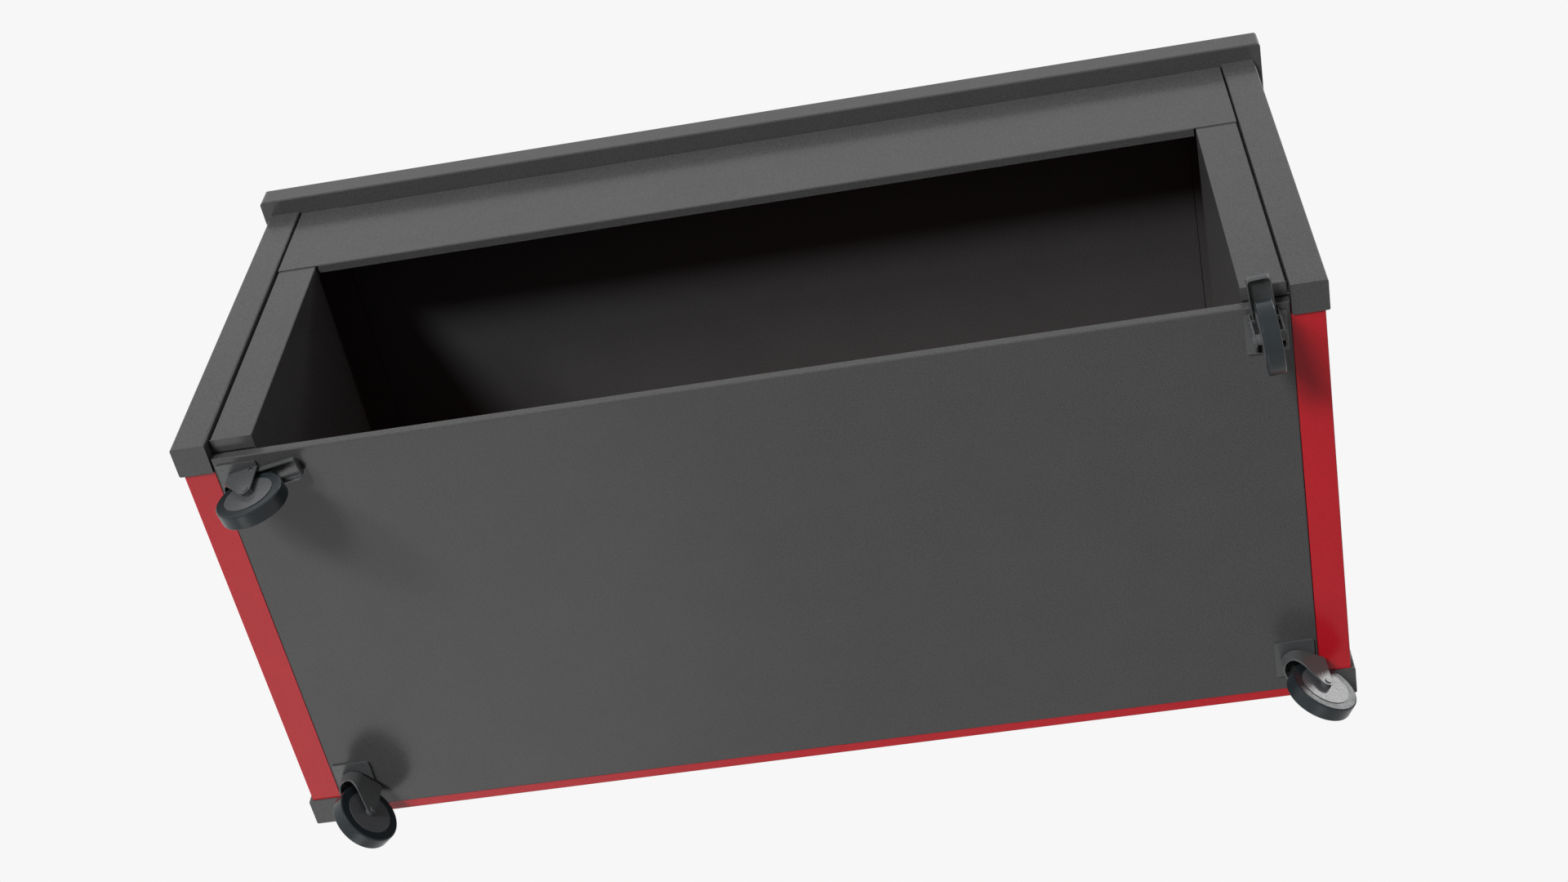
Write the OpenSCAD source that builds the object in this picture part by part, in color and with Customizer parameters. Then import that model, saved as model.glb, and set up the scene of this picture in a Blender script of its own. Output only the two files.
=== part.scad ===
// Rolling tool chest: a folded-steel cabinet on four swivel casters, with an open storage bay
// at the front and a shallow top compartment under a hinged lid.
// Millimetres. +Z is up, the open bay faces -Y, and the floor is at Z = 0.

/* [Cabinet] */
// Width over the corner posts
body_w = 1600; // [1200:10:2000]
// Depth over the corner posts
body_d = 710; // [560:5:900]
// Sheet thickness of the pan, panels and lid
sheet = 1.5; // [1:0.1:2]
// Inner radius of every fold
fold_in = 0.6; // [0.4:0.1:2]
// Groove between a corner post and the sheet beside it
groove = 3; // [2:0.5:5]

/* [Corner posts] */
// Height of a post
post_h = 690; // [560:5:850]
// Width of a post across the front
post_w = 50; // [40:1:70]
// Depth of a post from front to back
post_d = 46.5; // [40:0.5:70]
// Wall of a post
post_wall = 2; // [1.5:0.1:3]
// Slot down the hidden face of a post
post_slot = 22; // [12:1:26]
// How far the posts reach below the pan
post_drop = 1; // [0:0.5:4]

/* [Bottom pan] */
// Gap between the pan and a post
pan_gap = 2; // [1:0.5:5]
// How far the pan's front edge stands back from the posts
pan_back_set = 26; // [20:1:40]
// Height of the pan's upturned edges
pan_lip = 14.5; // [10:0.5:25]

/* [Side and back panels] */
// How far a side panel stands in from the posts
side_set = 5.7; // [2:0.1:12]
// How far the back panel stands in from the rear posts
back_set = 7; // [5:0.5:15]
// Depth of the back panel's folded edges
back_fold = 16; // [12:1:30]
// How far the panels stand above the underside of the pan
panel_lift = 1.3; // [0.5:0.1:4]
// Gap between a coloured panel and the part beside it
panel_gap = 0.8; // [0.4:0.1:2]

/* [Bay and top compartment] */
// Width of a cheek, the sheet between a post and the bay
cheek_w = 61; // [55:1:90]
// How far the cheeks stand back from the face of the posts
cheek_set = 5; // [3:0.5:10]
// Gap under the cheek's face, above the pan's edge
cheek_gap = 3.5; // [2:0.5:8]
// Depth of the folds behind the cheek and the front rail
return_d = 20; // [15:1:24]
// Height of the front rail, whose lower edge is level with the top of the bay's side walls
rail_h = 193; // [150:1:260]
// Depth of the front rail's folded edges
rail_fold = 13.5; // [8:0.5:19]
// Depth from the top of the rail to the compartment's floor
till_depth = 35; // [24:1:60]
// Height of the compartment floor's upturned edges
till_edge = 20; // [12:1:22]

/* [Lid] */
// Thickness of the lid
lid_t = 43; // [36:1:60]
// Overhang of the lid past the posts at each side
lid_side = 12; // [6:1:30]
// Overhang of the lid past the front posts
lid_front = 25; // [10:1:40]
// Radius of the lid's upright corners
lid_corner = 7; // [7:0.5:15]
// Radius of the lid's long edges
lid_edge = 2.5; // [1.5:0.1:3]
// Width of the fold round the underside of the lid
lid_return = 30; // [24:1:50]
// Clearance between the closed lid and the posts
lid_gap = 0.5; // [0.5:0.1:2]
// Width of a lid stiffener
stiffener_w = 60; // [40:5:100]
// Number of lid stiffeners
stiffener_count = 4; // [2:1:6]

/* [Hinge] */
// Radius of the hinge's knuckles
knuckle_r = 4; // [3.5:0.1:6]
// Length of one knuckle
knuckle_l = 60; // [40:5:90]
// Radius of the hinge pin
hinge_pin_r = 2; // [1.5:0.1:2.4]
// Height of a hinge leaf
leaf_h = 30; // [22:1:36]
// Clearance between turning parts of the hinge
hinge_gap = 0.4; // [0.3:0.1:0.8]

/* [Casters] */
// Radius of a wheel
wheel_r = 50; // [40:1:62]
// Width of a tyre
tyre_w = 23.2; // [18:0.2:26]
// Radius of the tyre's shoulders
shoulder_r = 2.5; // [1:0.5:6]
// Radius of the wheel's hub disc
hub_r = 36; // [28:1:40]
// Height of a caster, from the floor to the underside of the pan
caster_h = 115; // [108:1:140]
// Distance from the swivel axis to the axle
trail = 31; // [26:1:36]
// Distance of the swivel axis from the side of the nearer posts
caster_x = 85.5; // [80:0.5:120]
// Distance of a front caster's swivel axis from the face of the front posts
caster_front = 66.5; // [62:0.5:120]
// Distance of a rear caster's swivel axis from the back of the rear posts
caster_rear = 80.5; // [62:0.5:120]
// Caster plate from side to side
plate_x = 57.5; // [56:0.5:58]
// Caster plate from front to back
plate_y = 62; // [56:1:80]
// Thickness of a caster plate
plate_t = 3; // [2.5:0.1:4]
// Distance between the caster's screws from side to side
screw_x = 42; // [40:1:44]
// Distance between the caster's screws from front to back
screw_y = 48; // [46:1:50]
// Radius of a caster screw
screw_r = 3; // [2.5:0.1:3.2]
// Thickness of the plate inside the pan that stiffens a caster's place
gusset_t = 3; // [2:0.1:4]

/* [Forks and swivels] */
// Outer width of a fork, which is also the diameter of its round front
fork_w = 42; // [40:0.5:44]
// Sheet thickness of a fork
fork_t = 2.5; // [2:0.1:2.8]
// Radius over the fork's upper edge
fork_edge = 4; // [3:0.5:6]
// Depth of the round front wall, from the crown to its lower edge
front_wall = 19.5; // [14:0.5:22]
// Radius of the sweep from the front wall down to the legs
sweep_r = 12; // [8:1:16]
// Distance of the legs' trailing edge behind the axle
leg_tail = 7; // [6:0.5:10]
// Radius of the leg's round end
leg_end_r = 9; // [8:0.5:11]
// Height of the ball race between the plate and the fork
race_h = 3; // [2.5:0.1:5]
// Outer radius of the ball race
race_r = 18; // [16:0.5:20]
// Radius of the king pin
king_r = 6; // [5:0.5:7]
// Radius of the axle
axle_r = 4; // [3:0.5:4.5]
// Wall of the bush that the wheel turns on
bush_wall = 1.2; // [1:0.1:1.6]

/* [Brake pedals] */
// Distance of the pedal's pivot behind the swivel axis
pedal_x = 28; // [26:0.5:30]
// Depth of the pedal's pivot below the caster's mounting face
pedal_z = 15; // [14.5:0.5:18]
// Length of a pedal from its pivot to its tip
pedal_l = 64; // [58:1:80]
// Sheet thickness of a pedal
pedal_t = 1.8; // [1.5:0.1:2.2]
// Distance from the middle of the wheel to the inside of a pedal's arm
arm_in = 14.6; // [14:0.1:15]
// Height of the pedal's arms beside the wheel
arm_h = 11.5; // [10:0.5:13]
// Height of a pedal's top above its pivot
pedal_top = 10; // [9:0.5:11]
// Radius of the pedal's eye
eye_r = 5.5; // [5:0.5:6]
// Radius of the pedal's rounded corners at the tip
tip_r = 6; // [4:0.5:8]
// Radius of the pivot's rivet
rivet_r = 2.5; // [2:0.1:3]
// Turn of a pedal from released to pressed, in degrees
brake_travel = 7; // [5:0.5:8]
// Distance of the brake shoe behind the pedal's pivot
shoe_x = 12; // [11.5:0.5:16]
// Length of the brake shoe
shoe_l = 14; // [8:1:18]

/* [Rest headings] */
// Direction in which the front left wheel trails, in degrees from +X
heading_front_left = -10; // [-180:0.1:180]
// Direction in which the front right wheel trails
heading_front_right = -94.3; // [-180:0.1:180]
// Direction in which the rear left wheel trails
heading_rear_left = 49.9; // [-180:0.1:180]
// Direction in which the rear right wheel trails
heading_rear_right = 30; // [-180:0.1:180]

/* [Hidden] */
$fn = 64;
eps = 0.01;
run_gap = 0.08;
face_gap = 0.2;

fold_out = fold_in + sheet;
// How far the panels, cheeks and rail end below the top of the posts
frame_drop = 1;
// Levels above the floor
pan_z = caster_h;
floor_z = pan_z + sheet;
post_z = pan_z - post_drop;
post_top = post_z + post_h;
frame_top = post_top - frame_drop;
panel_z = pan_z + panel_lift;
cheek_z = pan_z + pan_lip + cheek_gap;
rail_z = frame_top - rail_h;
till_z = frame_top - till_depth;
lid_z = post_top + lid_gap;
lid_top = lid_z + lid_t;
// Places across and along the cabinet, with Y = 0 on the face of the front posts
post_in = body_w / 2 - post_w;
pan_x = post_in - pan_gap;
cheek_out = post_in - groove;
bay_x = cheek_out - cheek_w;
side_x = body_w / 2 - side_set;
back_y = body_d - back_set;
back_in = back_y - back_fold;
// Hinge axis, and how far the hinge stops short of the posts
hinge_inset = 2;
hinge_y = body_d + knuckle_r + hinge_gap;
hinge_z = post_top + lid_gap / 2;
hinge_x = post_in - hinge_inset;
// Caster levels below the mounting face
crown_z = -(plate_t + race_h);
axle_z = wheel_r - caster_h;
fork_out = fork_w / 2;
fork_in = fork_out - fork_t;
bush_r = axle_r + run_gap + bush_wall;
arm_out = arm_in + pedal_t;
// Head of the king pin, let into the caster plate
king_head_r = king_r + 3;
// Where the pedal's top begins, clear of the fork's crown
top_x = trail + leg_tail - pedal_x + 1;
pedal_out = pedal_x + pedal_l - caster_front;
// The origin is midway between the front pedal's tip and the back of the hinge
front_y = -(hinge_y + knuckle_r - pedal_out) / 2;

paint_grey = [0.24, 0.24, 0.25];
paint_red = [0.62, 0.11, 0.14];
zinc = [0.45, 0.46, 0.48];
rubber = [0.13, 0.15, 0.17];
nylon = [0.42, 0.43, 0.44];

// ---- Shared shapes ----

// Rectangle with four round corners and one corner at the origin
module round_rect(w, d, r) {
    translate([r, 0]) square([w - 2 * r, d]);
    translate([0, r]) square([w, d - 2 * r]);
    for (x = [r, w - r], y = [r, d - r]) translate([x, y]) circle(r);
}

// Rectangle whose two lower corners are round
module folded_foot(w, h, r) {
    intersection() {
        round_rect(w, h + 2 * r, r);
        square([w, h]);
    }
}

// Channel section: the web stands on Y from 0 to h, and the flanges run along +X
module channel_section(flange, h) {
    difference() {
        intersection() {
            round_rect(flange + 2 * fold_out, h, fold_out);
            square([flange, h]);
        }
        translate([sheet, sheet])
            round_rect(flange + 2 * fold_out, h - 2 * sheet, fold_in);
    }
}

// Solid block whose bottom edges are round, as the outside of a folded tray
module tray_block(w, d, h, r) {
    intersection() {
        translate([0, d, 0]) rotate([90, 0, 0]) linear_extrude(d) folded_foot(w, h, r);
        rotate([90, 0, 90]) linear_extrude(w) folded_foot(d, h, r);
    }
}

// Open tray folded from sheet: base at Z = 0, edges up to h
module tray(w, d, h) {
    difference() {
        tray_block(w, d, h, fold_out);
        translate([sheet, sheet, sheet])
            tray_block(w - 2 * sheet, d - 2 * sheet, h, fold_in);
    }
}

// Slab with round upright corners and small round edges above and below
module soft_slab(w, d, h, corner, edge) {
    intersection() {
        linear_extrude(h) round_rect(w, d, corner);
        translate([0, d, 0]) rotate([90, 0, 0]) linear_extrude(d) round_rect(w, h, edge);
        rotate([90, 0, 90]) linear_extrude(w) round_rect(d, h, edge);
    }
}

// Puts the face of the front posts at its distance from the origin
module in_frame() {
    translate([0, front_y, 0]) children();
}

// Takes a part drawn for the left side to the side asked for
module on_side(side) {
    mirror([side == "right" ? 1 : 0, 0, 0]) children();
}

// Takes a part drawn for the front to the end asked for
module at_end(end) {
    translate([0, end == "rear" ? body_d : 0, 0])
        mirror([0, end == "rear" ? 1 : 0, 0]) children();
}

// ---- Cabinet ----

// Upright corner post, a box section with closed ends and a slot on its hidden face
module corner_post(side, end) {
    // Length of the hidden face left whole above and below the slot
    slot_end = 3 * post_slot;
    color(paint_grey) in_frame() on_side(side) at_end(end)
        translate([-body_w / 2, 0, post_z]) difference() {
            linear_extrude(post_h) round_rect(post_w, post_d, fold_in + post_wall);
            translate([post_wall, post_wall, post_wall])
                linear_extrude(post_h - 2 * post_wall)
                    round_rect(post_w - 2 * post_wall, post_d - 2 * post_wall, fold_in);
            translate([(post_w - post_slot) / 2, post_d - 2 * post_wall, slot_end])
                cube([post_slot, 3 * post_wall, post_h - 2 * slot_end]);
        }
}

// Flat tray that closes the cabinet below and is the floor of the bay
module bottom_pan() {
    color(paint_grey) in_frame() difference() {
        translate([-pan_x, pan_back_set, pan_z])
            tray(2 * pan_x, back_in - pan_back_set, pan_lip);
        each_caster() each_screw()
            translate([0, 0, -1]) cylinder(h = sheet + 2, r = screw_r + run_gap);
    }
}

// Coloured side panel: a channel between the posts, its folds turned inwards
module side_panel(side) {
    reach = side_x - pan_x - panel_gap;
    color(paint_red) in_frame() on_side(side)
        translate([-side_x, body_d - post_d, panel_z]) rotate([90, 0, 0])
            linear_extrude(body_d - 2 * post_d)
                channel_section(reach, frame_top - panel_z);
}

// Coloured back panel, a shallow tray whose edges are folded towards the bay
module back_panel() {
    w = 2 * (post_in - panel_gap);
    color(paint_red) in_frame()
        translate([-w / 2, back_y, panel_z]) rotate([90, 0, 0])
            tray(w, frame_top - panel_z, back_fold);
}

// Plan of a cheek: groove tongue, return, face and the long inner wall of the bay
module cheek_plan() {
    long = back_in - cheek_set;
    difference() {
        round_rect(cheek_w, long + fold_out, fold_out);
        translate([sheet, sheet])
            round_rect(cheek_w - 2 * sheet, long + fold_out, fold_in);
        translate([-1, return_d]) square([1 + cheek_w - sheet, long + 1]);
        translate([-1, long]) square([cheek_w + 2, fold_out + 1]);
    }
    translate([-groove, return_d - sheet]) square([groove + sheet, sheet]);
    translate([-groove, long - sheet]) square([cheek_w + groove, sheet]);
}

// Cheek beside the bay, one folded sheet from the post round to the back. Its long wall is cut
// down to the level of the opening, its ends reach the top, and a shelf level with the
// compartment's floor closes the space over the wall
module cheek(side) {
    long = back_in - cheek_set;
    color(paint_grey) in_frame() on_side(side) translate([-cheek_out, cheek_set, 0]) {
        difference() {
            union() {
                translate([0, 0, floor_z]) linear_extrude(frame_top - floor_z) cheek_plan();
                translate([0, 0, cheek_z]) cube([cheek_w - eps, return_d, sheet]);
            }
            // Open over the long wall, between its two ends
            translate([cheek_w - 2 * sheet, return_d, rail_z])
                cube([3 * sheet, long - 2 * return_d, rail_h + 1]);
            // Clear of the pan's front edge
            translate([-groove - 1, -1, 0])
                cube([cheek_w + groove + 2, pan_back_set + fold_out + 1 - cheek_set, cheek_z]);
            // Clear of the pan's rear edge
            translate([-groove - 1, back_in - cheek_set - fold_out, 0])
                cube([cheek_w + groove + 2, fold_out + 1, pan_z + pan_lip + face_gap]);
        }
        translate([0, sheet - eps, till_z]) cube([cheek_w, long - 2 * sheet + 2 * eps, sheet]);
    }
}

// Plain rail across the front of the top compartment, over the face of both cheeks
module front_rail() {
    inner = 2 * (bay_x - groove);
    color(paint_grey) in_frame() translate([0, cheek_set - sheet, rail_z]) {
        translate([-inner / 2, 0, 0]) rotate([90, 0, 90])
            linear_extrude(inner) channel_section(rail_fold, rail_h);
        for (s = [0, 1]) mirror([s, 0, 0])
            translate([inner / 2 - eps, 0, 0]) cube([cheek_out - inner / 2 + eps, sheet, rail_h]);
    }
}

// Floor of the top compartment, which is also the ceiling of the bay
module till_floor() {
    color(paint_grey) in_frame() translate([-bay_x, cheek_set, till_z])
        tray(2 * bay_x, back_y - sheet - cheek_set, till_edge);
}

// ---- Lid and hinge ----

// Outer skin of the lid, folded under all round
module lid_skin() {
    w = body_w + 2 * lid_side;
    d = body_d + lid_front;
    color(paint_grey) in_frame() translate([-w / 2, -lid_front, lid_z]) difference() {
        soft_slab(w, d, lid_t, lid_corner, lid_edge);
        translate([sheet, sheet, sheet]) linear_extrude(lid_t - 2 * sheet)
            round_rect(w - 2 * sheet, d - 2 * sheet, lid_corner - sheet);
        translate([lid_return, lid_return, -1])
            cube([w - 2 * lid_return, d - 2 * lid_return, sheet + 2]);
    }
}

// Flat panel that closes the lid from inside, lying on the skin's folds
module lid_liner() {
    // Distance from the outside of the lid, with a little clearance inside its walls
    inset = sheet + 1;
    w = body_w + 2 * lid_side - 2 * inset;
    d = body_d + lid_front - 2 * inset;
    color(paint_grey) in_frame()
        translate([-w / 2, -lid_front + inset, lid_z + sheet])
            linear_extrude(sheet) round_rect(w, d, lid_corner - sheet);
}

// Hat-section stiffeners between the liner and the skin
module lid_stiffeners() {
    d = body_d + lid_front - 2 * lid_return;
    gap_h = lid_t - 3 * sheet;
    flange = stiffener_w / 4;
    pitch = (body_w - 2 * post_w) / stiffener_count;
    color(zinc) in_frame() for (i = [0 : stiffener_count - 1])
        translate([(i - (stiffener_count - 1) / 2) * pitch, body_d - lid_return,
                   lid_z + 2 * sheet])
            rotate([90, 0, 0]) linear_extrude(d) {
                translate([-stiffener_w / 2, 0]) difference() {
                    translate([0, -2 * fold_out])
                        round_rect(stiffener_w, gap_h + 2 * fold_out, fold_out);
                    translate([sheet, -2 * fold_out - sheet])
                        round_rect(stiffener_w - 2 * sheet, gap_h + 2 * fold_out, fold_in);
                    translate([-1, -2 * fold_out - 1])
                        square([stiffener_w + 2, 2 * fold_out + 1]);
                }
                for (s = [0, 1]) mirror([s, 0])
                    translate([stiffener_w / 2 - sheet, 0]) square([flange, sheet]);
            }
}

// Folded rail that fills the recess over the back panel, for the hinge to sit on
module hinge_rail() {
    // Reaches a little below the leaf
    h = 1.2 * leaf_h;
    color(paint_grey) in_frame()
        translate([-post_in, body_d, frame_top]) rotate([-90, 0, 90]) rotate([0, 180, 0])
            linear_extrude(2 * post_in) channel_section(back_set, h);
}

// One leaf of the hinge, drawn with its plate above the axis; keeps every second knuckle
module hinge_leaf(first) {
    count = 2 * floor(hinge_x / knuckle_l) + 1;
    pitch = 2 * hinge_x / count;
    // Where the plate begins, clear of the other leaf's knuckles
    plate_z = knuckle_r + hinge_gap;
    difference() {
        union() {
            translate([-hinge_x, -knuckle_r - hinge_gap, plate_z])
                cube([2 * hinge_x, sheet, leaf_h - knuckle_r]);
            for (i = [first : 2 : count - 1])
                translate([-hinge_x + i * pitch + hinge_gap / 2, 0, 0]) {
                    rotate([0, 90, 0]) cylinder(h = pitch - hinge_gap, r = knuckle_r);
                    translate([0, -knuckle_r - hinge_gap, 0])
                        cube([pitch - hinge_gap, sheet, plate_z + 1]);
                }
        }
        translate([-hinge_x - 1, 0, 0]) rotate([0, 90, 0])
            cylinder(h = 2 * hinge_x + 2, r = hinge_pin_r + run_gap);
    }
}

// Moves the hinge's axis to its place at the back of the lid
module at_hinge() {
    in_frame() translate([0, hinge_y, hinge_z]) children();
}

// Leaf on the cabinet
module hinge_body_leaf() {
    color(zinc) at_hinge() mirror([0, 0, 1]) hinge_leaf(0);
}

// Leaf on the lid
module hinge_lid_leaf() {
    color(zinc) at_hinge() hinge_leaf(1);
}

// Long pin of the hinge, with a small head at each end
module hinge_pin() {
    head_t = 1.5;
    head_r = hinge_pin_r + 1;
    color(zinc) at_hinge() {
        translate([-hinge_x, 0, 0]) rotate([0, 90, 0])
            cylinder(h = 2 * hinge_x, r = hinge_pin_r);
        for (s = [0, 1]) mirror([s, 0, 0]) translate([hinge_x, 0, 0]) rotate([0, 90, 0])
            cylinder(h = head_t, r = head_r);
    }
}

// ---- Places of the casters ----

// Stands a caster's parts at one corner, with Z = 0 on the mounting face
module at_caster(side, end) {
    x = body_w / 2 - caster_x;
    y = end == "rear" ? body_d - caster_rear : caster_front;
    translate([side == "right" ? x : -x, y, caster_h]) children();
}

// Repeats a shape at all four casters
module each_caster() {
    for (side = ["left", "right"], end = ["front", "rear"]) at_caster(side, end) children();
}

// Repeats a shape at the four screws of one caster
module each_screw() {
    for (x = [-1, 1], y = [-1, 1]) translate([x * screw_x / 2, y * screw_y / 2, 0]) children();
}

// Direction in which a wheel trails at rest
function heading(side, end) =
    end == "front"
        ? (side == "left" ? heading_front_left : heading_front_right)
        : (side == "left" ? heading_rear_left : heading_rear_right);

// As at_caster, turned so that +X is the direction in which the wheel trails
module at_fork(side, end) {
    in_frame() at_caster(side, end) rotate([0, 0, heading(side, end)]) children();
}

// Moves to the axle's centre, with Z along the axle
module at_axle(side, end) {
    at_fork(side, end) translate([trail, 0, axle_z]) rotate([90, 0, 0]) children();
}

// Moves to the pedal's pivot, with +X along the pedal
module at_pedal(side) {
    at_fork(side, "front") translate([pedal_x, 0, -pedal_z]) children();
}

// ---- Caster parts ----

// Square plates inside the pan, under the screw heads
module caster_gussets() {
    w = screw_x + 4 * screw_r;
    d = screw_y + 4 * screw_r;
    color(zinc) in_frame() each_caster() translate([0, 0, sheet]) difference() {
        translate([-w / 2, -d / 2, 0]) linear_extrude(gusset_t) round_rect(w, d, screw_r);
        each_screw() translate([0, 0, -1]) cylinder(h = gusset_t + 2, r = screw_r + run_gap);
    }
}

// Pan-head screws that hold the casters from inside the pan
module caster_screws() {
    top = sheet + gusset_t;
    color(zinc) in_frame() each_caster() each_screw() {
        translate([0, 0, face_gap - plate_t])
            cylinder(h = top + plate_t - face_gap, r = screw_r);
        difference() {
            translate([0, 0, top]) cylinder(h = screw_r, r1 = 2 * screw_r, r2 = 1.7 * screw_r);
            translate([0, 0, top + screw_r / 2])
                cylinder(h = screw_r, r = 0.7 * screw_r, $fn = 6);
        }
    }
}

// Top plate of a caster
module caster_plate(side, end) {
    corner = 2;
    color(zinc) in_frame() at_caster(side, end) difference() {
        translate([-plate_x / 2, -plate_y / 2, -plate_t])
            linear_extrude(plate_t) round_rect(plate_x, plate_y, corner);
        translate([0, 0, -plate_t - 1]) cylinder(h = plate_t + 2, r = king_r + run_gap);
        translate([0, 0, -plate_t / 2]) cylinder(h = plate_t, r = king_head_r);
        each_screw()
            translate([0, 0, -plate_t - 1]) cylinder(h = plate_t + 2, r = screw_r + run_gap);
    }
}

// King pin: a rivet let into the plate, with its lower head inside the crown
module king_pin(side, end) {
    under = crown_z - fork_t - face_gap;
    head_h = 2.2;
    head_r = king_r + 2;
    color(zinc) in_frame() at_caster(side, end) {
        translate([0, 0, -plate_t / 2])
            cylinder(h = plate_t / 2 - face_gap / 2, r = king_head_r - face_gap);
        translate([0, 0, under]) cylinder(h = -under - plate_t / 2 + eps, r = king_r);
        translate([0, 0, under - head_h])
            cylinder(h = head_h + eps, r1 = head_r - 1, r2 = head_r);
    }
}

// Ball race between the plate and the crown, a pressed ring with a rolled rim
module ball_race(side, end) {
    rim_r = (race_h - face_gap) / 2;
    bore = king_r + 4;
    color(zinc) in_frame() at_caster(side, end) rotate_extrude() {
        translate([bore, -plate_t - 2 * rim_r]) square([race_r - rim_r - bore, 2 * rim_r]);
        translate([race_r - rim_r, -plate_t - rim_r]) circle(rim_r);
    }
}

// Solid shell of a fork: round in front of the swivel axis, straight behind it, with its
// upper edge rounded all the way
module fork_shell(r, top, edge) {
    rotate([0, 0, 90]) rotate_extrude(angle = 180) intersection() {
        translate([-r, top - caster_h]) round_rect(2 * r, caster_h, edge);
        translate([0, top - caster_h]) square([r, caster_h]);
    }
    rotate([90, 0, 90]) linear_extrude(2 * trail)
        translate([-r, top - caster_h]) round_rect(2 * r, caster_h, edge);
}

// Points along an arc from angle a to angle b, anticlockwise when b is larger
function arc(c, r, a, b, steps = 16) =
    [for (i = [0 : steps]) let (t = a + (b - a) * i / steps) c + r * [cos(t), sin(t)]];

// Side outline of a fork: crown, trailing edge, round end and the sweep up to the front wall
module fork_side(corner_cut) {
    tail = trail + leg_tail;
    // The trailing edge leans back a little from the crown to the axle
    lean = 1.5;
    top_tail = tail - lean;
    leg_end = [tail - leg_end_r, axle_z];
    sweep = [-fork_out, crown_z - front_wall - sweep_r];
    // Direction of the leg's leading edge, a line that passes between the two circles
    across = leg_end - sweep;
    slope = atan2(across[1], across[0]) - asin((sweep_r + leg_end_r) / norm(across));
    polygon(concat(
        [[-2 * fork_out, crown_z + 1], [top_tail - corner_cut, crown_z + 1],
         [top_tail - corner_cut, crown_z], [top_tail, crown_z - corner_cut]],
        arc(leg_end, leg_end_r, 0, slope - 90),
        arc(sweep, sweep_r, slope + 90, 90),
        [[-2 * fork_out, crown_z - front_wall]]
    ));
}

// Stamped fork, a shell swept up in front; the corner over a brake pedal is left square
module fork(side, end) {
    color(zinc) at_fork(side, end) difference() {
        intersection() {
            difference() {
                fork_shell(fork_out, crown_z, fork_edge);
                fork_shell(fork_in, crown_z - fork_t, fork_edge - fork_t);
            }
            rotate([90, 0, 0]) linear_extrude(2 * fork_w, center = true)
                fork_side(end == "front" ? 1 : 6);
        }
        translate([0, 0, crown_z - 2 * fork_t])
            cylinder(h = 3 * fork_t, r = king_r + run_gap);
        translate([trail, 0, axle_z]) rotate([90, 0, 0])
            cylinder(h = 2 * fork_w, r = axle_r + run_gap, center = true);
        if (end == "front")
            translate([pedal_x, 0, -pedal_z]) rotate([90, 0, 0])
                cylinder(h = 2 * fork_w, r = rivet_r + run_gap, center = true);
    }
}

// Axle riveted over outside both legs
module axle(side, end) {
    head_h = 1.8;
    head_r = axle_r + 0.9;
    color(zinc) at_axle(side, end) {
        cylinder(h = fork_w + 2 * eps, r = axle_r, center = true);
        for (s = [0, 1]) mirror([0, 0, s]) translate([0, 0, fork_out])
            cylinder(h = head_h, r1 = head_r, r2 = head_r - 0.6);
    }
}

// Bush clamped between the legs, which the wheel turns on
module bush(side, end) {
    color(zinc) at_axle(side, end) difference() {
        cylinder(h = 2 * fork_in, r = bush_r, center = true);
        cylinder(h = 2 * fork_w, r = axle_r + run_gap, center = true);
    }
}

// Half section of the wheel's core, from the bore out to the tyre's seat
module core_section() {
    bore = bush_r + run_gap;
    boss = fork_in - 2 * face_gap;
    boss_wall = 2.2;
    // The disc stands a little proud of the tyre, whose seat is the narrower rib
    proud = 1;
    disc = tyre_w / 2 + proud;
    rib = tyre_w / 4;
    rib_h = 2;
    translate([bore, -boss]) square([boss_wall, 2 * boss]);
    translate([bore, -disc]) square([hub_r - bore, 2 * disc]);
    translate([hub_r - 1, -rib]) square([rib_h + 1, 2 * rib]);
}

// Core of a wheel: a flat disc with a raised hub and a rib that holds the tyre
module wheel_core(side, end) {
    color(nylon) at_axle(side, end) rotate_extrude() core_section();
}

// Solid tyre with round shoulders
module tyre(side, end) {
    color(rubber) at_axle(side, end) rotate_extrude() difference() {
        translate([hub_r - 2 * shoulder_r, -tyre_w / 2])
            round_rect(wheel_r - hub_r + 2 * shoulder_r, tyre_w, shoulder_r);
        translate([0, -wheel_r]) square([hub_r, 2 * wheel_r]);
        core_section();
    }
}

// ---- Brakes on the front casters ----

// Block with the outside shape of a pedal's top: folded long edges, round corners at the tip
module pedal_block(half, z_top, tip, r) {
    back = 2 * tip;
    intersection() {
        translate([tip - back, -half, z_top - caster_h])
            linear_extrude(caster_h) round_rect(back, 2 * half, tip_r - arm_out + half);
        translate([tip - back, 0, 0]) rotate([90, 0, 90]) linear_extrude(back)
            translate([-half, z_top - caster_h]) round_rect(2 * half, caster_h, r);
    }
}

// Side outline of a pedal: an eye, a low link under the crown, and the arm to the tip
module pedal_side() {
    low = pedal_top - arm_h;
    round_x = pedal_l - tip_r;
    // Highest level that passes under the crown, with room for the pedal's travel
    link_gap = 1.5;
    link_top = pedal_z + crown_z - fork_t - link_gap;
    circle(eye_r);
    translate([0, low]) square([top_x + 1, link_top - low]);
    translate([top_x, low]) square([round_x - top_x, arm_h]);
    translate([top_x, low + tip_r]) square([pedal_l - top_x, arm_h - tip_r]);
    translate([round_x, low + tip_r]) circle(tip_r);
}

// Pedal: a channel over the wheel that turns on two rivets inside the fork
module brake_pedal(side) {
    bend = 1;
    color(zinc) at_pedal(side) difference() {
        intersection() {
            difference() {
                pedal_block(arm_out, pedal_top, pedal_l, pedal_t + bend);
                pedal_block(arm_in, pedal_top - pedal_t, pedal_l - pedal_t, bend);
            }
            rotate([90, 0, 0]) linear_extrude(4 * arm_out, center = true) pedal_side();
        }
        rotate([90, 0, 0]) cylinder(h = 4 * arm_out, r = rivet_r + run_gap, center = true);
    }
}

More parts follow.
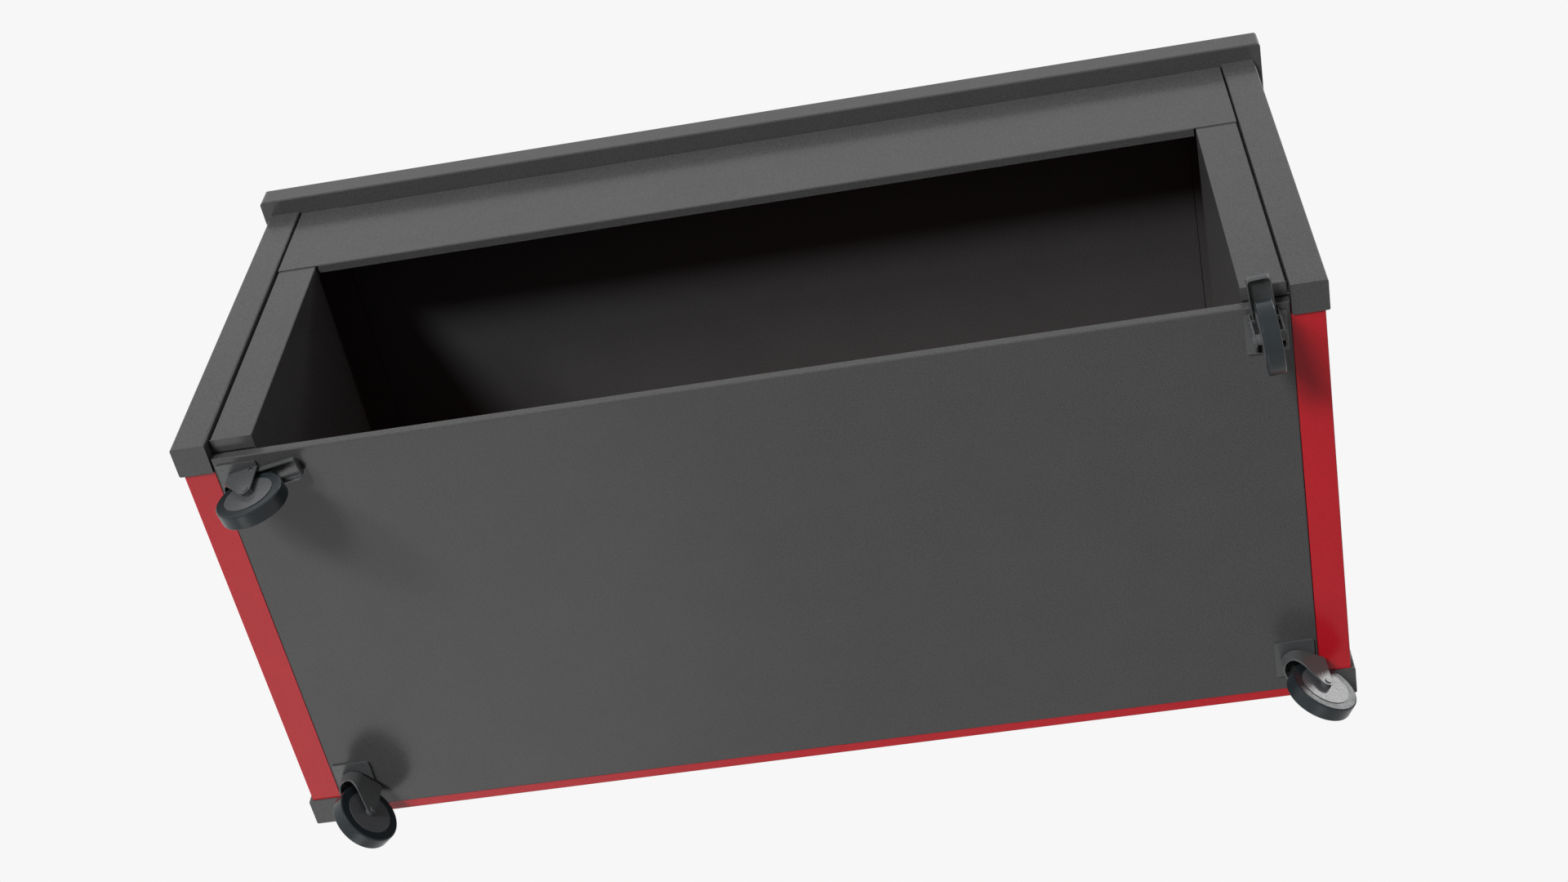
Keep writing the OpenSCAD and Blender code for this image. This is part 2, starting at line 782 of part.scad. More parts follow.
// Rubber block under the pedal, hollowed so that it meets the tyre at the end of the travel
module brake_shoe(side) {
    top = pedal_top - pedal_t;
    color(rubber) at_pedal(side) difference() {
        translate([shoe_x, -arm_in / 2, top - arm_h])
            cube([shoe_l, arm_in, arm_h]);
        rotate([0, -brake_travel, 0]) translate([trail - pedal_x, 0, axle_z + pedal_z])
            rotate([90, 0, 0]) cylinder(h = 2 * arm_in, r = wheel_r + face_gap, center = true);
    }
}

// Rivets that the pedal turns on, one through each leg, with a shoulder beside the leg
module pedal_rivets(side) {
    head_h = 1.2;
    head_r = rivet_r + 1.5;
    color(zinc) at_pedal(side) for (s = [0, 1]) mirror([0, s, 0]) rotate([90, 0, 0]) {
        translate([0, 0, arm_in - face_gap - head_h]) cylinder(h = head_h, r = rivet_r + head_h);
        translate([0, 0, arm_in - face_gap - eps])
            cylinder(h = fork_out - arm_in + face_gap + 2 * eps, r = rivet_r);
        translate([0, 0, arm_out + face_gap])
            cylinder(h = fork_in - arm_out - face_gap, r = head_r);
        translate([0, 0, fork_out])
            cylinder(h = head_h, r1 = head_r, r2 = head_r - 1);
    }
}

// ---- Nodes ----

bottom_pan();
corner_post("left", "front");  // front_left_post
corner_post("right", "front");  // front_right_post
corner_post("left", "rear");  // rear_left_post
corner_post("right", "rear");  // rear_right_post
side_panel("left");  // left_side_panel
side_panel("right");  // right_side_panel
back_panel();
cheek("left");  // left_cheek
cheek("right");  // right_cheek
front_rail();
till_floor();
hinge_rail();
hinge_body_leaf();
hinge_lid_leaf();
hinge_pin();
lid_skin();
lid_liner();
lid_stiffeners();
caster_gussets();
caster_screws();
caster_plate("left", "front");  // plate_front_left
caster_plate("right", "front");  // plate_front_right
caster_plate("left", "rear");  // plate_rear_left
caster_plate("right", "rear");  // plate_rear_right
king_pin("left", "front");  // king_pin_front_left
king_pin("right", "front");  // king_pin_front_right
king_pin("left", "rear");  // king_pin_rear_left
king_pin("right", "rear");  // king_pin_rear_right
ball_race("left", "front");  // ball_race_front_left
ball_race("right", "front");  // ball_race_front_right
ball_race("left", "rear");  // ball_race_rear_left
ball_race("right", "rear");  // ball_race_rear_right
fork("left", "front");  // fork_front_left
fork("right", "front");  // fork_front_right
fork("left", "rear");  // fork_rear_left
fork("right", "rear");  // fork_rear_right
axle("left", "front");  // axle_front_left
axle("right", "front");  // axle_front_right
axle("left", "rear");  // axle_rear_left
axle("right", "rear");  // axle_rear_right
bush("left", "front");  // bush_front_left
bush("right", "front");  // bush_front_right
bush("left", "rear");  // bush_rear_left
bush("right", "rear");  // bush_rear_right
wheel_core("left", "front");  // wheel_core_front_left
wheel_core("right", "front");  // wheel_core_front_right
wheel_core("left", "rear");  // wheel_core_rear_left
wheel_core("right", "rear");  // wheel_core_rear_right
tyre("left", "front");  // tyre_front_left
tyre("right", "front");  // tyre_front_right
tyre("left", "rear");  // tyre_rear_left
tyre("right", "rear");  // tyre_rear_right
brake_pedal("left");  // brake_pedal_left
brake_pedal("right");  // brake_pedal_right
brake_shoe("left");  // brake_shoe_left
brake_shoe("right");  // brake_shoe_right
pedal_rivets("left");  // pedal_rivets_left
pedal_rivets("right");  // pedal_rivets_right
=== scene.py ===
"""Rolling tool chest: the finish of every surface, the small fittings and the stage.

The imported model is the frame. Each operator below finishes or models one group of pieces, and
the sidebar panel lists them in the order in which they run. Sizes are in metres.
"""

import math

import bpy
import bmesh
from mathutils import Matrix, Vector


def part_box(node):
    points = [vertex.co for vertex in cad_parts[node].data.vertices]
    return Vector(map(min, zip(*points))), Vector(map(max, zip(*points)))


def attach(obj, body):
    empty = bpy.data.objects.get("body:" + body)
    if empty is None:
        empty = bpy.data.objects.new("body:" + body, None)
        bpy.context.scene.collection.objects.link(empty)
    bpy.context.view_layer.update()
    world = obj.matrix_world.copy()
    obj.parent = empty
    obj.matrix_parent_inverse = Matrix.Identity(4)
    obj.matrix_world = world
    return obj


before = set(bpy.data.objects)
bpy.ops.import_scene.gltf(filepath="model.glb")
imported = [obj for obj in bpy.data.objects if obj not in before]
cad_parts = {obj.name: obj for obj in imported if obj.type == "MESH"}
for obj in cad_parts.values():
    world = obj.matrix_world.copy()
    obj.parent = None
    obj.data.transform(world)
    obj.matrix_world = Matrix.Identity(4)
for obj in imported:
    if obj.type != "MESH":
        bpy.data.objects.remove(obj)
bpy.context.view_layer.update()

bl_info = {
    "name": "Rolling Tool Chest",
    "version": (1, 0, 0),
    "blender": (4, 5, 0),
    "location": "View3D > Sidebar > Tool Chest",
    "description": "Finishes, hinge fittings and stage for a rolling tool chest",
    "category": "Object",
}

CORNERS = ("front_left", "front_right", "rear_left", "rear_right")
SIDES = ("left", "right")
MM = 0.001
GREY_NAME = "grey_powder_coat"
ZINC_NAME = "black_zinc_plated_steel"

# Sheet thickness of the hinge's leaves
LEAF_SHEET = 1.5 * MM
# Where the rivets run, as a share of the way from a leaf's free edge to the pin
RIVET_ROW = 0.42
RIVET_VERTICES = 20
# Share of a rivet head's height that its dome takes, and the steps that round it
DOME_SHARE = 0.94
DOME_STEPS = 4
# A rivet's face whose normal has this much of a direction looks that way
SQUARE_ON = 0.9
# In degrees, the sharpest turn between a rivet's faces that is shaded smooth
SMOOTH_ANGLE = 35

# Sill closer: its sheet, its height over the pan's lip, the gaps that it keeps in front and at
# each end, how far it reaches in behind the pan's edge, its turned-up flange, its edge radius
SILL_SHEET = 1.2 * MM
SILL_RISE = 6.6 * MM
SILL_FRONT_GAP = 3 * MM
SILL_END_GAP = 2.5 * MM
SILL_REACH = 14 * MM
SILL_FLANGE = 12 * MM
SILL_EDGE = 0.3 * MM
# An edge this near to a line lies on it
NEAR = 0.1 * MM

FLOOR_SIZE = 80
# Share of the floor that the lamps light; the rest is as pale as the backdrop
FLOOR_MATT = 0.45
# The camera's place, in degrees its bearing from the chest and its turn about its view, and
# how far it sees
CAMERA_PLACE = (0.4430, -1.9712, -2.5830)
CAMERA_AZIMUTH = 12.67
CAMERA_ELEVATION = -56.314
CAMERA_ROLL = 2.422
CAMERA_REACH = 100
# Distant lamps: bearing and width in degrees, level, and whether they show in gloss
LAMPS = (
    ("lamp_low_left", -37, -20, 10, 0.52, False),
    ("lamp_under_front", -24, -35, 11, 0.58, False),
    ("lamp_edges", -31, -29, 14, 0.14, True),
    ("lamp_right", 45, 0, 14, 0.08, False),
    ("lamp_under_rear", 205, -49, 38, 0.045, True),
    ("lamp_under_corner", 211, -48, 22, 0.055, True),
    ("lamp_upper_right", 63, 47, 11, 0.13, True),
    ("lamp_above", 170, 68, 30, 0.35, False),
    ("lamp_front_above", 0, 42, 30, 0.14, False),
    ("lamp_rear", 175, 25, 30, 0.5, False),
    ("lamp_left", -105, 15, 30, 0.45, False),
    ("lamp_far_right", 110, 15, 30, 0.3, False),
)


def linear(hex_code):
    """Linear colour with alpha for an sRGB hex value such as '4B4C4E'."""
    channels = [int(hex_code[i:i + 2], 16) / 255 for i in (0, 2, 4)]
    return (*[c / 12.92 if c <= 0.04045 else ((c + 0.055) / 1.055) ** 2.4 for c in channels], 1.0)


# ---- Settings a user would change ----


class ChestColours(bpy.types.PropertyGroup):
    """Colours of the chest's finishes."""

    grey_paint: bpy.props.FloatVectorProperty(
        name="Grey paint", description="Powder coat of the cabinet and the lid",
        default=linear("434343"), size=4, min=0, max=1, subtype="COLOR")
    red_paint: bpy.props.FloatVectorProperty(
        name="Red paint", description="Powder coat of the side and back panels",
        default=linear("B01722"), size=4, min=0, max=1, subtype="COLOR")
    zinc: bpy.props.FloatVectorProperty(
        name="Black zinc", description="Plating of the hinge and of the casters' inner parts",
        default=linear("56585B"), size=4, min=0, max=1, subtype="COLOR")
    tyre: bpy.props.FloatVectorProperty(
        name="Tyre", description="Solid rubber of the tyres",
        default=linear("1A2023"), size=4, min=0, max=1, subtype="COLOR")
    enamel: bpy.props.FloatVectorProperty(
        name="Enamel", description="Enamel of the casters' forks, plates, axles, screws and pedals",
        default=linear("424344"), size=4, min=0, max=1, subtype="COLOR")
    hub: bpy.props.FloatVectorProperty(
        name="Hub", description="Moulded nylon of the wheel discs",
        default=linear("464749"), size=4, min=0, max=1, subtype="COLOR")


class ChestSizes(bpy.types.PropertyGroup):
    """Sizes of the small fittings."""

    rivet_head: bpy.props.FloatProperty(
        name="Rivet head", description="Diameter of a hinge rivet's head",
        default=7 * MM, min=4 * MM, max=10 * MM, unit="LENGTH")
    rivet_dome: bpy.props.FloatProperty(
        name="Rivet dome", description="Height of a hinge rivet's head",
        default=1.3 * MM, min=0.8 * MM, max=2.5 * MM, unit="LENGTH")
    rivet_pitch: bpy.props.FloatProperty(
        name="Rivet pitch", description="Distance between the rivets of a hinge leaf",
        default=0.12, min=0.06, max=0.3, unit="LENGTH")


class StageSettings(bpy.types.PropertyGroup):
    """Light, floor and camera of the stage."""

    pale: bpy.props.FloatVectorProperty(
        name="Background", description="Colour of the backdrop and the floor",
        default=linear("F7F7F7"), size=4, min=0, max=1, subtype="COLOR")
    fill: bpy.props.FloatProperty(
        name="Fill", description="Level of the even light from all sides",
        default=0.18, min=0, max=1, subtype="FACTOR")
    lens: bpy.props.FloatProperty(
        name="Lens", description="Focal length on a 36 mm sensor",
        default=53.92, min=20, max=120, unit="CAMERA")


# ---- Materials ----


def add_node(tree, kind, inputs=None, stops=(), **settings):
    """Adds a shader node, sets its fields, sets or links the inputs that are named, and gives
    a colour ramp its stops, each a position and a colour."""
    node = tree.nodes.new("ShaderNode" + kind)
    for field, value in settings.items():
        setattr(node, field, value)
    for name, value in (inputs or {}).items():
        if isinstance(value, bpy.types.NodeSocket):
            tree.links.new(value, node.inputs[name])
        else:
            node.inputs[name].default_value = value
    for i, (position, colour) in enumerate(stops):
        node.color_ramp.elements[i].position = position
        node.color_ramp.elements[i].color = colour
    return node


def new_material(name):
    """An empty node material with its output, and the object's own coordinates."""
    material = bpy.data.materials.new(name)
    material.use_nodes = True
    tree = material.node_tree
    tree.nodes.clear()
    output = add_node(tree, "OutputMaterial")
    coords = add_node(tree, "TexCoord").outputs["Object"]
    return material, tree, output, coords


def shade(colour, factor):
    """The same colour, darker or lighter by a factor."""
    return (*[min(1.0, c * factor) for c in colour[:3]], 1.0)


def powder_coat(name, colour, speck):
    """Polyester powder coat, sprayed dry and baked smooth: a satin gloss, with a fine grain of
    tone, as strong as speck says, and a very slight unevenness over a hand's width."""
    material, tree, output, coords = new_material(name)
    # The real grain is about 0.6 mm; drawn at 1.6 mm so that it shows at this distance
    grain = add_node(tree, "TexNoise", {"Vector": coords, "Scale": 1 / (1.6 * MM), "Detail": 3.0,
                                        "Roughness": 0.6})
    cloud = add_node(tree, "TexNoise", {"Vector": coords, "Scale": 1 / (90 * MM), "Detail": 2.0})
    speckle = add_node(tree, "ValToRGB", {"Fac": grain.outputs["Fac"]},
                       stops=((0.34, shade(colour, 1 - speck)), (0.66, shade(colour, 1 + speck))))
    tone = add_node(tree, "MapRange", {"Value": cloud.outputs["Fac"], "From Min": 0.3,
                                       "From Max": 0.7, "To Min": 0.97, "To Max": 1.03})
    tinted = add_node(tree, "Mix", {"Factor": 1.0, "A": speckle.outputs["Color"],
                                    "B": tone.outputs["Result"]},
                      data_type="RGBA", blend_type="MULTIPLY")
    rough = add_node(tree, "MapRange", {"Value": grain.outputs["Fac"], "From Min": 0.25,
                                        "From Max": 0.75, "To Min": 0.19, "To Max": 0.25})
    bump = add_node(tree, "Bump", {"Height": grain.outputs["Fac"], "Strength": 0.1,
                                   "Distance": 0.05 * MM})
    surface = add_node(tree, "BsdfPrincipled", {
        "Base Color": tinted.outputs["Result"], "Roughness": rough.outputs["Result"],
        "Normal": bump.outputs["Normal"], "IOR": 1.28})
    tree.links.new(surface.outputs["BSDF"], output.inputs["Surface"])
    return material


def black_zinc(colour):
    """Steel with a black passivated zinc plating: a dark satin metal, slightly blotchy where
    the bath left its bloom, with a fine drawn grain from the press."""
    material, tree, output, coords = new_material(ZINC_NAME)
    bloom = add_node(tree, "TexNoise", {"Vector": coords, "Scale": 1 / (9 * MM), "Detail": 4.0})
    grain = add_node(tree, "TexNoise", {"Vector": coords, "Scale": 1 / (0.9 * MM), "Detail": 2.0})
    tone = add_node(tree, "ValToRGB", {"Fac": bloom.outputs["Fac"]},
                    stops=((0.3, shade(colour, 0.85)), (0.72, shade(colour, 1.15))))
    rough = add_node(tree, "MapRange", {"Value": bloom.outputs["Fac"], "From Min": 0.3,
                                        "From Max": 0.7, "To Min": 0.3, "To Max": 0.42})
    bump = add_node(tree, "Bump", {"Height": grain.outputs["Fac"], "Strength": 0.12,
                                   "Distance": 0.05 * MM})
    surface = add_node(tree, "BsdfPrincipled", {
        "Base Color": tone.outputs["Color"], "Metallic": 1.0,
        "Roughness": rough.outputs["Result"], "Normal": bump.outputs["Normal"]})
    tree.links.new(surface.outputs["BSDF"], output.inputs["Surface"])
    return material


def tyre_rubber(colour):
    """Solid grey-black rubber, moulded: a soft sheen over a faint skin of mould texture."""
    material, tree, output, coords = new_material("moulded_tyre_rubber")
    skin = add_node(tree, "TexNoise", {"Vector": coords, "Scale": 1 / (0.8 * MM), "Detail": 3.0})
    dust = add_node(tree, "TexNoise", {"Vector": coords, "Scale": 1 / (14 * MM), "Detail": 3.0})
    tone = add_node(tree, "ValToRGB", {"Fac": dust.outputs["Fac"]},
                    stops=((0.3, shade(colour, 0.9)), (0.75, shade(colour, 1.12))))
    rough = add_node(tree, "MapRange", {"Value": dust.outputs["Fac"], "From Min": 0.3,
                                        "From Max": 0.7, "To Min": 0.26, "To Max": 0.34})
    bump = add_node(tree, "Bump", {"Height": skin.outputs["Fac"], "Strength": 0.1,
                                   "Distance": 0.05 * MM})
    surface = add_node(tree, "BsdfPrincipled", {
        "Base Color": tone.outputs["Color"], "Roughness": rough.outputs["Result"],
        "Normal": bump.outputs["Normal"], "IOR": 1.36})
    tree.links.new(surface.outputs["BSDF"], output.inputs["Surface"])
    return material


def satin_enamel(name, colour):
    """Stove enamel over pressed steel, or nylon moulded in the same grey: a close satin with a
    faint orange peel, whose gloss draws a bright line along each rounded edge."""
    material, tree, output, coords = new_material(name)
    # The real grain is about 0.5 mm; drawn at 1.3 mm so that it shows at this distance
    grain = add_node(tree, "TexNoise", {"Vector": coords, "Scale": 1 / (1.3 * MM), "Detail": 3.0})
    peel = add_node(tree, "TexNoise", {"Vector": coords, "Scale": 1 / (4 * MM), "Detail": 2.0})
    tone = add_node(tree, "ValToRGB", {"Fac": grain.outputs["Fac"]},
                    stops=((0.32, shade(colour, 0.86)), (0.68, shade(colour, 1.14))))
    rough = add_node(tree, "MapRange", {"Value": peel.outputs["Fac"], "From Min": 0.3,
                                        "From Max": 0.7, "To Min": 0.25, "To Max": 0.29})
    bump = add_node(tree, "Bump", {"Height": grain.outputs["Fac"], "Strength": 0.08,
                                   "Distance": 0.05 * MM})
    surface = add_node(tree, "BsdfPrincipled", {
        "Base Color": tone.outputs["Color"], "Roughness": rough.outputs["Result"],
        "Normal": bump.outputs["Normal"], "IOR": 1.42})
    tree.links.new(surface.outputs["BSDF"], output.inputs["Surface"])
    return material


def shoe_rubber():
    """Hard black rubber, cut from sheet: matt, with a coarse fibrous break-up."""
    material, tree, output, coords = new_material("black_brake_rubber")
    fibre = add_node(tree, "TexNoise", {"Vector": coords, "Scale": 1 / (1.2 * MM), "Detail": 4.0})
    tone = add_node(tree, "ValToRGB", {"Fac": fibre.outputs["Fac"]},
                    stops=((0.0, linear("141414")), (1.0, linear("242424"))))
    bump = add_node(tree, "Bump", {"Height": fibre.outputs["Fac"], "Strength": 0.2,
                                   "Distance": 0.1 * MM})
    surface = add_node(tree, "BsdfPrincipled", {
        "Base Color": tone.outputs["Color"], "Roughness": 0.7, "IOR": 1.52,
        "Normal": bump.outputs["Normal"]})
    tree.links.new(surface.outputs["BSDF"], output.inputs["Surface"])
    return material


def give(material, *nodes):
    """Puts a material in every slot of the CAD nodes that are named."""
    for node in nodes:
        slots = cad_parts[node].data.materials
        for i in range(len(slots)):
            slots[i] = material


def nodes_at(places, *stems):
    """Node names such as fork_front_left, for every stem at every place."""
    return [f"{stem}_{place}" for stem in stems for place in places]


# ---- Finishes of the CAD pieces ----


class CHEST_OT_paint_cabinet(bpy.types.Operator):
    """Powder-coats the cabinet and the lid, with the side and back panels in red"""

    bl_idname = "chest.paint_cabinet"
    bl_label = "Paint cabinet"

    def execute(self, context):
        colours = context.scene.chest_colours
        grey = powder_coat(GREY_NAME, colours.grey_paint, 0.3)
        red = powder_coat("red_powder_coat", colours.red_paint, 0.16)
        posts = [f"{corner}_post" for corner in CORNERS]
        give(grey, *posts, "bottom_pan", "left_cheek", "right_cheek", "front_rail", "till_floor",
             "hinge_rail", "lid_skin", "lid_liner")
        give(red, "left_side_panel", "right_side_panel", "back_panel")
        return {"FINISHED"}


class CHEST_OT_finish_hardware(bpy.types.Operator):
    """Enamels the pressed steel of the casters and brakes, and plates the small steel parts"""

    bl_idname = "chest.finish_hardware"
    bl_label = "Finish hardware"

    def execute(self, context):
        colours = context.scene.chest_colours
        enamel = satin_enamel("grey_stove_enamel", colours.enamel)
        give(enamel, *nodes_at(CORNERS, "plate", "fork", "axle"),
             *nodes_at(SIDES, "brake_pedal"), "caster_screws")
        zinc = black_zinc(colours.zinc)
        give(zinc, *nodes_at(CORNERS, "king_pin", "ball_race", "bush"),
             *nodes_at(SIDES, "pedal_rivets"), "caster_gussets", "lid_stiffeners",
             "hinge_body_leaf", "hinge_lid_leaf", "hinge_pin")
        return {"FINISHED"}


class CHEST_OT_finish_wheels(bpy.types.Operator):
    """Gives the tyres, wheel discs and brake shoes their rubber and nylon"""

    bl_idname = "chest.finish_wheels"
    bl_label = "Finish wheels"

    def execute(self, context):
        colours = context.scene.chest_colours
        give(tyre_rubber(colours.tyre), *nodes_at(CORNERS, "tyre"))
        give(satin_enamel("moulded_grey_nylon", colours.hub), *nodes_at(CORNERS, "wheel_core"))
        give(shoe_rubber(), *nodes_at(SIDES, "brake_shoe"))
        return {"FINISHED"}


# ---- Small fittings ----


def pick(obj, kind, wanted):
    """In edit mode, selects the faces or edges for which wanted holds, and no others."""
    bpy.ops.mesh.select_mode(type=kind)
    bpy.ops.mesh.select_all(action="DESELECT")
    edit = bmesh.from_edit_mesh(obj.data)
    for part in edit.faces if kind == "FACE" else edit.edges:
        part.select_set(wanted(part))
    bmesh.update_edit_mesh(obj.data)


def add_modifier(obj, kind, **settings):
    """Adds a modifier to the active object, sets its fields and applies it."""
    bpy.ops.object.modifier_add(type=kind)
    modifier = obj.modifiers[-1]
    for field, value in settings.items():
        setattr(modifier, field, value)
    bpy.ops.object.modifier_apply(modifier=modifier.name)


def settle(obj, name, body, material):
    """Names a finished piece, brings its object to the origin and lets it ride on its body."""
    bpy.ops.object.mode_set(mode="OBJECT")
    bpy.ops.object.select_all(action="DESELECT")
    obj.select_set(True)
    bpy.context.view_layer.objects.active = obj
    bpy.ops.object.transform_apply(location=True, rotation=True, scale=True)
    obj.name = name
    obj.data.name = name
    obj.data.materials.clear()
    obj.data.materials.append(material)
    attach(obj, body)


class CHEST_OT_rivet_hinge(bpy.types.Operator):
    """Models the row of domed rivets that holds each leaf of the hinge"""

    bl_idname = "chest.rivet_hinge"
    bl_label = "Rivet hinge"

    def execute(self, context):
        sizes = context.scene.chest_sizes
        pin_low, pin_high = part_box("hinge_pin")
        pin_z = (pin_low.z + pin_high.z) / 2
        for leaf, body in (("hinge_body_leaf", "cabinet"), ("hinge_lid_leaf", "lid")):
            low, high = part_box(leaf)
            edge_z = low.z if body == "cabinet" else high.z
            row_z = edge_z + RIVET_ROW * (pin_z - edge_z)
            face_y = low.y + LEAF_SHEET
            count = int((high.x - low.x) / sizes.rivet_pitch)
            start_x = (low.x + high.x - (count - 1) * sizes.rivet_pitch) / 2
            bpy.ops.object.select_all(action="DESELECT")
            bpy.ops.mesh.primitive_cylinder_add(
                vertices=RIVET_VERTICES, radius=sizes.rivet_head / 2, depth=sizes.rivet_dome,
                location=(start_x, face_y + sizes.rivet_dome / 2, row_z),
                rotation=(-math.pi / 2, 0, 0))
            rivet = context.active_object
            bpy.ops.object.transform_apply(location=True, rotation=True, scale=True)
            bpy.ops.object.mode_set(mode="EDIT")
            # The dome is on the face that looks to the rear
            pick(rivet, "FACE", lambda face: face.normal.y > SQUARE_ON)
            bpy.ops.mesh.bevel(offset=DOME_SHARE * sizes.rivet_dome, segments=DOME_STEPS,
                               profile=0.5, affect="EDGES")
            bpy.ops.object.mode_set(mode="OBJECT")
            add_modifier(rivet, "ARRAY", count=count, use_relative_offset=False,
                         use_constant_offset=True,
                         constant_offset_displace=(sizes.rivet_pitch, 0, 0))
            bpy.ops.object.shade_smooth_by_angle(angle=math.radians(SMOOTH_ANGLE))
            settle(rivet, f"hinge_rivets_{body}", body, bpy.data.materials[ZINC_NAME])
        return {"FINISHED"}


class CHEST_OT_close_sills(bpy.types.Operator):
    """Models the folded plate that closes the foot of each hollow cheek over the pan's lip"""

    bl_idname = "chest.close_sills"
    bl_label = "Close sills"

    def execute(self, context):
        pan_low, pan_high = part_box("bottom_pan")
        for side in SIDES:
            low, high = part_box(f"{side}_cheek")
            front, rear = low.y + SILL_FRONT_GAP, pan_low.y + SILL_REACH
            bpy.ops.object.select_all(action="DESELECT")
            bpy.ops.mesh.primitive_plane_add(
                size=1, location=((low.x + high.x) / 2, (front + rear) / 2,
                                  pan_high.z + SILL_RISE))
            plate = context.active_object
            plate.scale = (high.x - low.x - 2 * SILL_END_GAP, rear - front, 1)
            bpy.ops.object.transform_apply(location=True, rotation=True, scale=True)
            bpy.ops.object.mode_set(mode="EDIT")
            pick(plate, "EDGE",
                 lambda edge: all(abs(v.co.y - rear) < NEAR for v in edge.verts))
            bpy.ops.mesh.extrude_region_move(TRANSFORM_OT_translate={"value": (0, 0, SILL_FLANGE)})
            bpy.ops.object.mode_set(mode="OBJECT")
            add_modifier(plate, "SOLIDIFY", thickness=SILL_SHEET)
            add_modifier(plate, "BEVEL", width=SILL_EDGE, segments=2)
            settle(plate, f"sill_closer_{side}", "cabinet", bpy.data.materials[GREY_NAME])
        return {"FINISHED"}


# ---- Stage ----


def facing(azimuth, elevation):
    """Turn of a lamp or camera that looks at the chest from this bearing, in degrees. Azimuth
    runs from the front towards the right, and elevation up from the horizontal."""
    a, e = math.radians(azimuth), math.radians(elevation)
    back = Vector((math.sin(a) * math.cos(e), -math.cos(a) * math.cos(e), math.sin(e)))
    return back.to_track_quat("Z", "Y").to_matrix().to_4x4()


def add_lamp(name, azimuth, elevation, width, level, in_gloss):
    """Distant soft lamp. Its level is that of a white surface that faces it."""
    data = bpy.data.lights.new(name, "SUN")
    data.angle = math.radians(width)
    data.energy = level * math.pi
    lamp = bpy.data.objects.new(name, data)
    lamp.matrix_world = facing(azimuth, elevation)
    lamp.visible_camera = False
    lamp.visible_glossy = in_gloss
    bpy.context.scene.collection.objects.link(lamp)


def add_camera(lens):
    """Camera below and in front of the chest, which looks up at its underside."""
    data = bpy.data.cameras.new("camera")
    data.lens = lens
    data.clip_end = CAMERA_REACH
    camera = bpy.data.objects.new("camera", data)
    roll = Matrix.Rotation(math.radians(CAMERA_ROLL), 4, "Z")
    camera.matrix_world = (Matrix.Translation(CAMERA_PLACE)
                           @ facing(CAMERA_AZIMUTH, CAMERA_ELEVATION) @ roll)
    bpy.context.scene.collection.objects.link(camera)
    bpy.context.scene.camera = camera


def stage_world(pale, fill):
    """Even light of a low level, with a pale background behind the object and in its gloss."""
    world = bpy.data.worlds.new("studio")
    world.use_nodes = True
    tree = world.node_tree
    tree.nodes.clear()
    path = add_node(tree, "LightPath")
    seen = add_node(tree, "Math", {0: path.outputs["Is Camera Ray"],
                                   1: path.outputs["Is Glossy Ray"]}, operation="MAXIMUM")
    seen = add_node(tree, "Math", {0: seen.outputs[0], 1: path.outputs["Is Transmission Ray"]},
                    operation="MAXIMUM")
    even = add_node(tree, "Background", {"Color": (1, 1, 1, 1), "Strength": fill})
    behind = add_node(tree, "Background", {"Color": tuple(pale), "Strength": 1.0})
    mixed = add_node(tree, "MixShader", {0: seen.outputs[0], 1: even.outputs[0],
                                         2: behind.outputs[0]})
    output = add_node(tree, "OutputWorld")
    tree.links.new(mixed.outputs[0], output.inputs["Surface"])
    bpy.context.scene.world = world


def floor_material(pale):
    """Matt pale floor that keeps a soft shadow, and isn't there when it is seen from below."""
    material, tree, output, _ = new_material("studio_floor")
    side = add_node(tree, "NewGeometry")
    path = add_node(tree, "LightPath")
    matt = add_node(tree, "BsdfDiffuse", {"Color": shade(pale, FLOOR_MATT)})
    glow = add_node(tree, "Math", {0: path.outputs["Is Camera Ray"], 1: 1 - FLOOR_MATT},
                    operation="MULTIPLY")
    pale_glow = add_node(tree, "Emission", {"Color": tuple(pale), "Strength": glow.outputs[0]})
    seen = add_node(tree, "AddShader", {0: matt.outputs[0], 1: pale_glow.outputs[0]})
    clear = add_node(tree, "BsdfTransparent")
    mixed = add_node(tree, "MixShader", {0: side.outputs["Backfacing"], 1: seen.outputs[0],
                                         2: clear.outputs[0]})
    tree.links.new(mixed.outputs[0], output.inputs["Surface"])
    return material


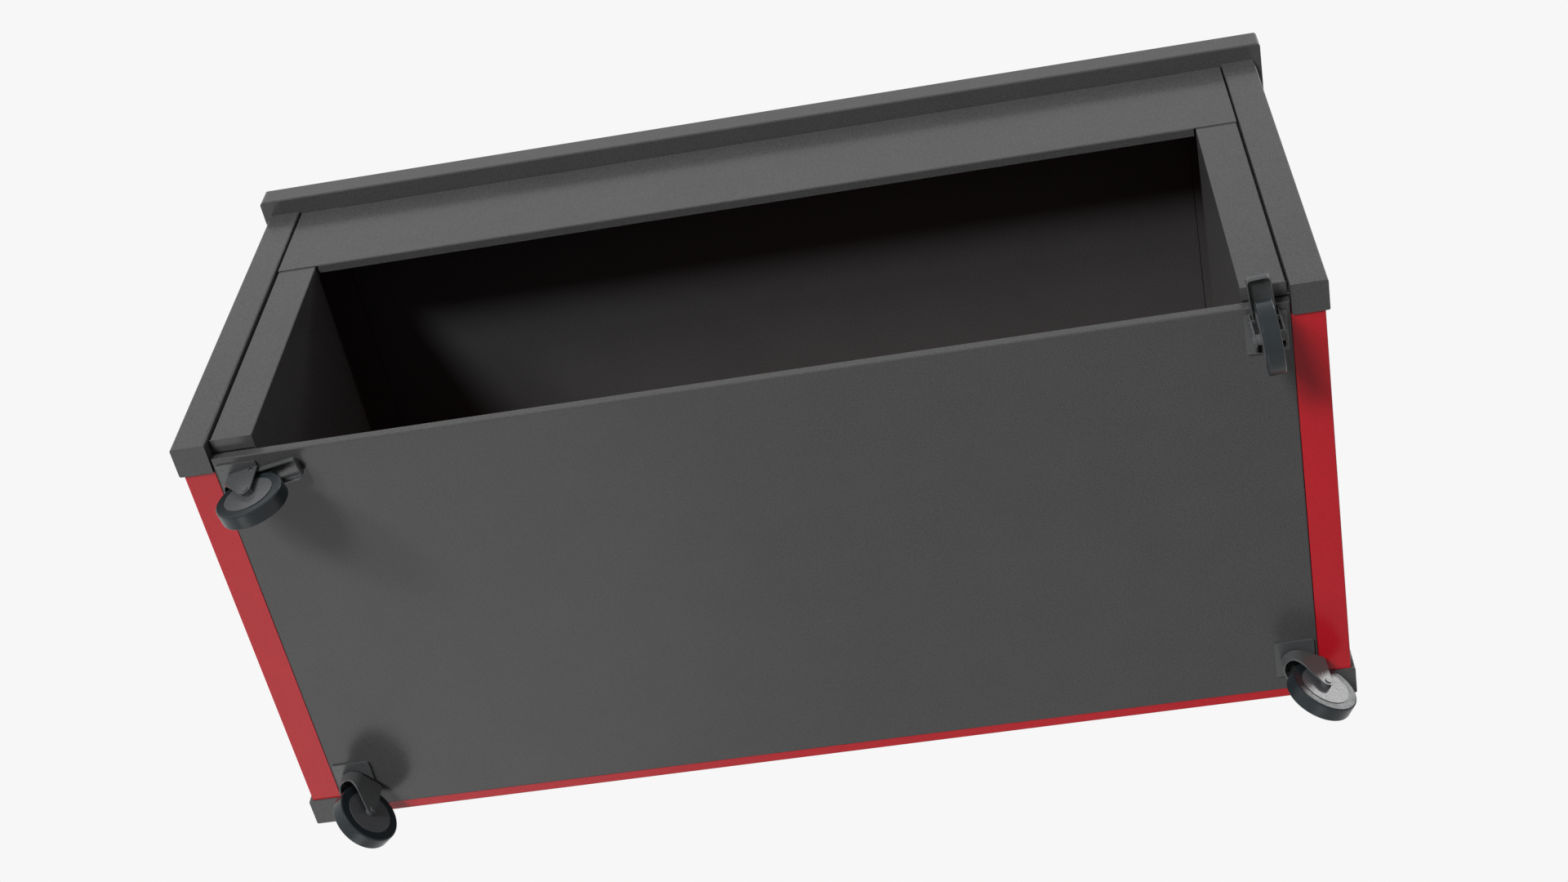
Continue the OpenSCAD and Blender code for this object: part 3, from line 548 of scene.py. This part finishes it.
def add_floor(pale):
    """Wide floor under the wheels, as pale as the backdrop."""
    bpy.ops.object.select_all(action="DESELECT")
    bpy.ops.mesh.primitive_plane_add(size=FLOOR_SIZE)
    floor = bpy.context.active_object
    floor.name = "studio_floor"
    floor.data.materials.append(floor_material(pale))
    # The lamps below shine through it, and it throws no light up at the chest
    floor.visible_shadow = False
    floor.visible_diffuse = False
    floor.visible_glossy = False


class CHEST_OT_stage(bpy.types.Operator):
    """Sets the floor, the background, the lamps and the camera"""

    bl_idname = "chest.stage"
    bl_label = "Set stage"

    def execute(self, context):
        settings = context.scene.chest_stage
        stage_world(settings.pale, settings.fill)
        add_floor(settings.pale)
        for lamp in LAMPS:
            add_lamp(*lamp)
        add_camera(settings.lens)
        context.scene.view_settings.view_transform = "Standard"
        return {"FINISHED"}


# ---- Panel and registration ----


class CHEST_PT_panel(bpy.types.Panel):
    """Settings and steps of the tool chest"""

    bl_label = "Tool Chest"
    bl_idname = "CHEST_PT_panel"
    bl_space_type = "VIEW_3D"
    bl_region_type = "UI"
    bl_category = "Tool Chest"

    def draw(self, context):
        for group in GROUPS:
            box = self.layout.box()
            settings = getattr(context.scene, group)
            for field in settings.__annotations__:
                box.prop(settings, field)
        for step in STEPS:
            self.layout.operator(step.bl_idname)


GROUPS = {"chest_colours": ChestColours, "chest_sizes": ChestSizes, "chest_stage": StageSettings}
STEPS = (CHEST_OT_paint_cabinet, CHEST_OT_finish_hardware, CHEST_OT_finish_wheels,
         CHEST_OT_rivet_hinge, CHEST_OT_close_sills, CHEST_OT_stage)


def register():
    for cls in (*GROUPS.values(), *STEPS, CHEST_PT_panel):
        bpy.utils.register_class(cls)
    for name, cls in GROUPS.items():
        setattr(bpy.types.Scene, name, bpy.props.PointerProperty(type=cls))


def unregister():
    for name in GROUPS:
        delattr(bpy.types.Scene, name)
    for cls in reversed((*GROUPS.values(), *STEPS, CHEST_PT_panel)):
        bpy.utils.unregister_class(cls)


def make_chest():
    register()
    for step in STEPS:
        area, name = step.bl_idname.split(".")
        getattr(getattr(bpy.ops, area), name)()


if __name__ == "__main__":
    make_chest()
